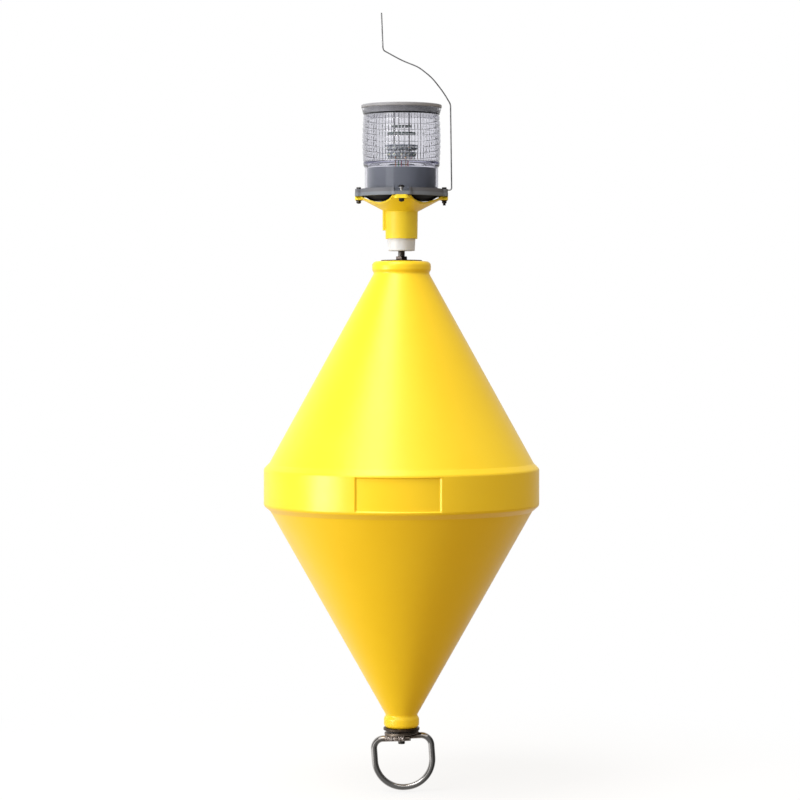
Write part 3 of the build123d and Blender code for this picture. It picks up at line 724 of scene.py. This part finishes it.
# One emitter: a flat round dome on a collar, on the outer face of each block of a ring board.
emitter_resin = plain_material(
    "emitter_resin", (0.62, 0.62, 0.46), 0.12, Subsurface_Weight=0.2, Subsurface_Scale=0.002,
)
vary_colour(emitter_resin, surface_noise(emitter_resin, 900), (
    (0.35, (0.52, 0.52, 0.36)),
    (0.65, (0.70, 0.70, 0.54)),
))
emitter_count, dome_columns = 12, 16
block_middle, block_face = 0.0042, 0.0025
collar_radius, collar_low, collar_high = 0.0026, -0.0006, 0.0004
dome_radius, dome_rise = 0.0021, 0.0012
for board in ("lower_led_board", "upper_led_board"):
    board_low, board_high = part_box(board)
    dome_outline = [
        Vector((0, collar_low)),
        Vector((collar_radius, collar_low)),
        Vector((collar_radius, collar_high)),
    ]
    dome_outline += [
        Vector((dome_radius * math.cos(angle), collar_high + dome_rise * math.sin(angle)))
        for angle in (0, math.pi / 6, math.pi / 3, math.pi / 2)
    ]
    dome_parts = bmesh.new()
    turn_outline(dome_parts, dome_outline, even_angles(dome_columns))
    dome = new_piece("emitter_dome", dome_parts)
    dome.data.transform(Matrix.Rotation(math.pi / 2, 4, "Y"))
    dome.data.transform(
        Matrix.Translation((board_high.x - block_face, 0, board_low.z + block_middle))
    )
    repeat_part(
        board + "_emitters", dome, emitter_resin, "led_board",
        count=emitter_count, turn=2 * math.pi / emitter_count,
    )

post_steel = plain_material("post_steel", (0.66, 0.66, 0.68), 0.30, Metallic=1.0)
vary_colour(post_steel, surface_noise(post_steel, 200, detail=4), (
    (0.30, (0.54, 0.54, 0.56)),
    (0.60, (0.66, 0.66, 0.68)),
    (0.85, (0.78, 0.78, 0.80)),
))
for number in range(1, 5):
    cover(f"board_post_{number}", post_steel)

# Each wire's slot and colour
for number, (slot, colour) in enumerate((
    ("wire_orange", (0.80, 0.22, 0.02)),
    ("wire_green", (0.05, 0.30, 0.10)),
    ("wire_red", (0.62, 0.02, 0.06)),
    ("wire_yellow", (0.85, 0.42, 0.03)),
    ("wire_red", (0.70, 0.05, 0.03)),
), start=1):
    wire_jacket = plain_material(f"{slot}_{number}", colour, 0.35)
    vary_colour(wire_jacket, surface_noise(wire_jacket, 150), (
        (0.30, tuple(0.82 * part for part in colour)),
        (0.70, colour),
    ))
    raise_surface(wire_jacket, (surface_noise(wire_jacket, 600), 0.0001, 0.3))
    cover(f"supply_wire_{number}", wire_jacket)


# Bolts, nuts and the cover screw. M6 steel through the bracket's four pads, with black heads and
# nuts, bare shanks and a bright washer under each head.
black_steel = plain_material("black_steel", (0.030, 0.028, 0.028), 0.36, Metallic=0.6)
vary_colour(black_steel, surface_noise(black_steel, 260, detail=4), (
    (0.30, (0.018, 0.016, 0.016)),
    (0.60, (0.035, 0.031, 0.030)),
    (0.85, (0.090, 0.075, 0.065)),
))
vary_roughness(black_steel, surface_noise(black_steel, 500), 0.28, 0.48)
head_height = 0.0042
head_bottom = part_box("lantern_bolt_2")[1].z - head_height
shank_middle, shank_half = head_bottom - 0.0100, 0.0098
bolt_steel = plain_material("bolt_steel", (0.030, 0.028, 0.028), 0.36, Metallic=0.8)
bolt_mask = add_node(bolt_steel, "ShaderNodeMath", operation="COMPARE")
bolt_mask.inputs[1].default_value = shank_middle
bolt_mask.inputs[2].default_value = shank_half
bolt_steel.node_tree.links.new(height_on(bolt_steel), bolt_mask.inputs[0])
bolt_grain = surface_noise(bolt_steel, 260, detail=4)
vary_colour(bolt_steel, with_grain(bolt_steel, bolt_mask.outputs["Value"], bolt_grain, 0.15), (
    (0.04, (0.020, 0.018, 0.018)),
    (0.14, (0.045, 0.040, 0.038)),
    (0.88, (0.420, 0.410, 0.390)),
    (1.00, (0.620, 0.610, 0.590)),
))
for number in range(1, 5):
    cover(f"lantern_bolt_{number}", bolt_steel)
    cover(f"lantern_nut_{number}", black_steel)
cover("cover_screw", black_steel)

washer_bright = plain_material("washer_bright", (0.52, 0.51, 0.50), 0.30, Metallic=1.0)
vary_colour(washer_bright, surface_noise(washer_bright, 400, detail=3), (
    (0.30, (0.40, 0.39, 0.38)),
    (0.75, (0.60, 0.59, 0.58)),
))
washer_hole, washer_radius, washer_height, washer_break = 0.0032, 0.0061, 0.0014, 0.0003
washer_gap, washer_columns = 0.0001, 32
washer_outline = [
    Vector((washer_hole, -washer_height)),
    Vector((washer_radius - washer_break, -washer_height)),
    Vector((washer_radius, washer_break - washer_height)),
    Vector((washer_radius, -washer_break)),
    Vector((washer_radius - washer_break, 0)),
    Vector((washer_hole, 0)),
]
washer_parts = bmesh.new()
turn_outline(washer_parts, washer_outline, even_angles(washer_columns))
bolt_washer = new_piece("bolt_washer", washer_parts)
bolt_circle = sum(corner.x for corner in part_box("lantern_bolt_1")) / 2
bolt_washer.data.transform(Matrix.Translation((bolt_circle, 0, head_bottom - washer_gap)))
repeat_part("bolt_washers", bolt_washer, washer_bright, "bolt_black", count=4, turn=math.pi / 2)


# Bird wire. A 3 mm stainless wire, bent to stand beside the lantern and keep birds off its lid. The
# eye at its foot is held under the right bolt's head.
wire_steel = plain_material("wire_steel", (0.42, 0.42, 0.43), 0.30, Metallic=1.0)
vary_colour(wire_steel, surface_noise(wire_steel, 90, detail=4), (
    (0.30, (0.28, 0.27, 0.27)),
    (0.60, (0.44, 0.44, 0.45)),
    (0.85, (0.60, 0.60, 0.61)),
))
cover("bird_wire", wire_steel)


# Mooring ring. A 14 mm round bar bent to a D, its ends welded under a round plate on both sides
# of the rod's stub. Bright steel, browned by the heat round the welds.
ring_steel = plain_material("ring_steel", (0.50, 0.48, 0.46), 0.15, Metallic=1.0)
browned_until, bright_from = 0.026, 0.062
ring_place = add_node(ring_steel, "ShaderNodeTexCoord")
ring_away = add_node(ring_steel, "ShaderNodeVectorMath", operation="DISTANCE")
ring_away.inputs[1].default_value = (0, 0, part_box("ring_plate")[0].z)
ring_mask = add_node(
    ring_steel, "ShaderNodeMapRange", From_Min=browned_until, From_Max=bright_from,
)
ring_steel.node_tree.links.new(ring_place.outputs["Object"], ring_away.inputs[0])
ring_steel.node_tree.links.new(ring_away.outputs["Value"], ring_mask.inputs["Value"])
ring_grain = surface_noise(ring_steel, 70, detail=5)
vary_colour(ring_steel, with_grain(ring_steel, ring_mask.outputs["Result"], ring_grain, 0.3), (
    (0.10, (0.150, 0.115, 0.090)),
    (0.40, (0.330, 0.280, 0.235)),
    (0.76, (0.500, 0.480, 0.460)),
    (0.94, (0.610, 0.590, 0.570)),
))
vary_roughness(ring_steel, surface_noise(ring_steel, 140, detail=4), 0.10, 0.22)
raise_surface(ring_steel, (surface_noise(ring_steel, 260, detail=3), 0.0003, 0.3))
cover("mooring_ring", ring_steel)
plate_steel = plain_material("plate_steel", (0.25, 0.20, 0.155), 0.40, Metallic=1.0)
vary_colour(plate_steel, surface_noise(plate_steel, 70, detail=5), (
    (0.25, (0.14, 0.100, 0.072)),
    (0.55, (0.25, 0.200, 0.155)),
    (0.85, (0.44, 0.385, 0.340)),
))
raise_surface(plate_steel, (surface_noise(plate_steel, 500), 0.0003, 0.4))
cover("ring_plate", plate_steel)
cover("lower_washer", washer_steel)

# Each weld runs along the side of a bar under the plate as overlapping lumps, in the frame of the
# plate, whose left edge hangs lower. The back weld is the front one turned half round.
weld_steel = plain_material("weld_steel", (0.38, 0.33, 0.30), 0.55, Metallic=0.9)
vary_colour(weld_steel, surface_noise(weld_steel, 160, detail=5), (
    (0.32, (0.14, 0.110, 0.090)),
    (0.50, (0.42, 0.365, 0.330)),
    (0.70, (0.80, 0.740, 0.720)),
))
vary_roughness(weld_steel, surface_noise(weld_steel, 400), 0.45, 0.65)
raise_surface(weld_steel, (surface_noise(weld_steel, 420, detail=4), 0.0010, 0.7))
plate_height, plate_tilt = -0.5349, math.radians(-4.2)
weld_frame = Matrix.Translation((0, 0, plate_height)) @ Matrix.Rotation(plate_tilt, 4, "Y")
weld_start = Vector((-0.0330, -0.0122, -0.0110))
weld_end = Vector((0.0030, -0.0214, -0.0125))
lump_count = 13
lump_half_sizes = (0.0042, 0.0054, 0.0074)
lump_lean = 0.35
for weld_name, weld_side in (("weld_front", 1), ("weld_back", -1)):
    lump_parts = bmesh.new()
    bmesh.ops.create_icosphere(lump_parts, subdivisions=3, radius=1)
    lump = new_piece("weld_lump", lump_parts, smooth_angle=180)
    lump.data.transform(Matrix.Diagonal((*lump_half_sizes, 1)))
    lump.data.transform(Matrix.Rotation(lump_lean, 4, "Y"))
    lump.data.transform(Matrix.Translation(weld_start))
    weld = repeat_part(
        weld_name, lump, weld_steel, "ring_steel", count=lump_count,
        move=(weld_end - weld_start) / (lump_count - 1), scatter=0.03, seed=3,
    )
    weld.data.transform(weld_frame @ Matrix.Diagonal((weld_side, weld_side, 1, 1)))


# Floor, backdrop and light. Lamps stand high at the left in front, low at the left and overhead, in
# a room with a warm even light, and what the camera and the clear pieces see beyond is white.
floor_drop = 0.004
floor_half = 14
floor_parts = bmesh.new()
bmesh.ops.create_grid(floor_parts, x_segments=1, y_segments=1, size=floor_half)
floor = new_piece("floor", floor_parts)
floor.data.transform(Matrix.Translation((0, 0, cad_box[0].z - floor_drop)))


def math_output(owner, operation, *values):
    """Output of a math node on its values, each a socket or a number."""
    node = add_node(owner, "ShaderNodeMath", operation=operation)
    for socket, value in zip(node.inputs, values):
        if isinstance(value, (int, float)):
            socket.default_value = value
        else:
            owner.node_tree.links.new(value, socket)
    return node.outputs["Value"]


def mixed_shader(owner, factor, first, second):
    """Output of a mix of two shaders."""
    node = add_node(owner, "ShaderNodeMixShader")
    for socket, value in zip(node.inputs, (factor, first, second)):
        owner.node_tree.links.new(value, socket)
    return node.outputs["Shader"]


# To the camera and through clear plastic the floor is white but for the shadow near the ring. To
# scattered light it is a warm matt floor, and metal shows the world's white backdrop in its place.
floor_paint = plain_material("floor_paint", (0.34, 0.235, 0.13), 0.9, Specular_IOR_Level=0.1)
floor_links = floor_paint.node_tree.links
floor_near = add_node(floor_paint, "ShaderNodeBsdfDiffuse", Color=(0.85, 0.85, 0.85, 1))
floor_far = add_node(floor_paint, "ShaderNodeEmission", Color=(1, 1, 1, 1))
floor_place = add_node(floor_paint, "ShaderNodeTexCoord")
floor_reach = add_node(floor_paint, "ShaderNodeVectorMath", operation="LENGTH")
floor_fade = add_node(
    floor_paint, "ShaderNodeMapRange", interpolation_type="SMOOTHSTEP",
    From_Min=0.7, From_Max=1.6, To_Min=0.80, To_Max=1.0,
)
floor_links.new(floor_place.outputs["Object"], floor_reach.inputs[0])
floor_links.new(floor_reach.outputs["Value"], floor_fade.inputs["Value"])
floor_path = add_node(floor_paint, "ShaderNodeLightPath")
floor_seen = math_output(
    floor_paint, "MAXIMUM",
    floor_path.outputs["Is Camera Ray"], floor_path.outputs["Is Transmission Ray"],
)
floor_white = mixed_shader(
    floor_paint, floor_fade.outputs["Result"],
    floor_near.outputs["BSDF"], floor_far.outputs["Emission"],
)
floor_matt = floor_paint.node_tree.nodes["Principled BSDF"].outputs["BSDF"]
floor_output = floor_paint.node_tree.nodes["Material Output"]
floor_links.new(
    mixed_shader(floor_paint, floor_seen, floor_matt, floor_white), floor_output.inputs["Surface"],
)
floor.data.materials.append(floor_paint)
floor.visible_glossy = False

# The world is white to the camera. Metal and clear plastic see that white backdrop behind the buoy,
# a dimmer room in front of it, dimmest at the right, and one bright strip high at the left, which
# draws the light lines along the metal bars.
world = bpy.data.worlds.new("studio")
world.use_nodes = True
bpy.context.scene.world = world
world_links = world.node_tree.links
room = world.node_tree.nodes["Background"]
room.inputs["Color"].default_value = (1.0, 0.93, 0.84, 1)
room.inputs["Strength"].default_value = 0.78
backdrop = add_node(world, "ShaderNodeBackground", Color=(1, 1, 1, 1))
world_place = add_node(world, "ShaderNodeTexCoord")
world_split = add_node(world, "ShaderNodeSeparateXYZ")
world_depth = add_node(
    world, "ShaderNodeMapRange", interpolation_type="SMOOTHSTEP",
    From_Min=-0.3, From_Max=0.7, To_Min=0.20, To_Max=1.0,
)
world_side = add_node(
    world, "ShaderNodeMapRange", From_Min=0.1, From_Max=0.8, To_Min=1.0, To_Max=0.15,
)
world_links.new(world_place.outputs["Generated"], world_split.inputs["Vector"])
world_links.new(world_split.outputs["Y"], world_depth.inputs["Value"])
world_links.new(world_split.outputs["X"], world_side.inputs["Value"])
dim_room = math_output(
    world, "MULTIPLY", world_depth.outputs["Result"], world_side.outputs["Result"],
)

# The strip is a band of directions at one angle from its pole.
strip_pole = (-0.7071, 0, 0.7071)
strip_middle, strip_half, strip_end = 0.46, 0.10, 0.16
strip_along = add_node(world, "ShaderNodeVectorMath", operation="DOT_PRODUCT")
strip_along.inputs[1].default_value = strip_pole
strip_level = add_node(
    world, "ShaderNodeMapRange", From_Min=strip_half, From_Max=strip_end, To_Min=1.0, To_Max=0.0,
)
world_links.new(world_place.outputs["Generated"], strip_along.inputs[0])
strip_away = math_output(world, "SUBTRACT", strip_along.outputs["Value"], strip_middle)
world_links.new(math_output(world, "ABSOLUTE", strip_away), strip_level.inputs["Value"])
mirrored = math_output(world, "MAXIMUM", dim_room, strip_level.outputs["Result"])
world_path = add_node(world, "ShaderNodeLightPath")
is_camera = world_path.outputs["Is Camera Ray"]
backdrop_level = math_output(world, "MAXIMUM", mirrored, is_camera)
world_links.new(backdrop_level, backdrop.inputs["Strength"])
world_seen = math_output(world, "MAXIMUM", is_camera, world_path.outputs["Is Glossy Ray"])
world_seen = math_output(
    world, "MAXIMUM", world_seen, world_path.outputs["Is Transmission Ray"],
)
world_shader = mixed_shader(
    world, world_seen, room.outputs["Background"], backdrop.outputs["Background"],
)
world_links.new(world_shader, world.node_tree.nodes["World Output"].inputs["Surface"])

# Each lamp: name, place, size, power in watts, colour
for lamp_name, place, size, power, colour in (
    ("key_lamp", (-2.6, -3.2, 2.6), 2.2, 59, (1.0, 1.0, 1.0)),
    ("low_lamp", (-3.3, -1.6, -0.1), 1.2, 73, (1.0, 0.99, 0.97)),
    ("top_lamp", (-1.1, -1.3, 3.9), 1.8, 104, (1.0, 1.0, 1.0)),
):
    lamp_data = bpy.data.lights.new(lamp_name, "AREA")
    lamp_data.size = size
    lamp_data.energy = power
    lamp_data.color = colour
    lamp = bpy.data.objects.new(lamp_name, lamp_data)
    lamp.location = place
    lamp.rotation_euler = (-Vector(place)).to_track_quat("-Z", "Y").to_euler()
    bpy.context.scene.collection.objects.link(lamp)
    lamp.visible_transmission = False

# The low lamp draws a soft streak on the float's band. The lens and the ring are kept out of it, as
# they would mirror the lamp itself.
kept_out = bpy.data.collections.new("kept_out")
for mirror in (lens_body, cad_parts["mooring_ring"]):
    kept_out.objects.link(mirror)
for linked in kept_out.collection_objects:
    linked.light_linking.link_state = "EXCLUDE"
bpy.data.objects["low_lamp"].light_linking.receiver_collection = kept_out

bpy.context.scene.view_settings.view_transform = "Standard"
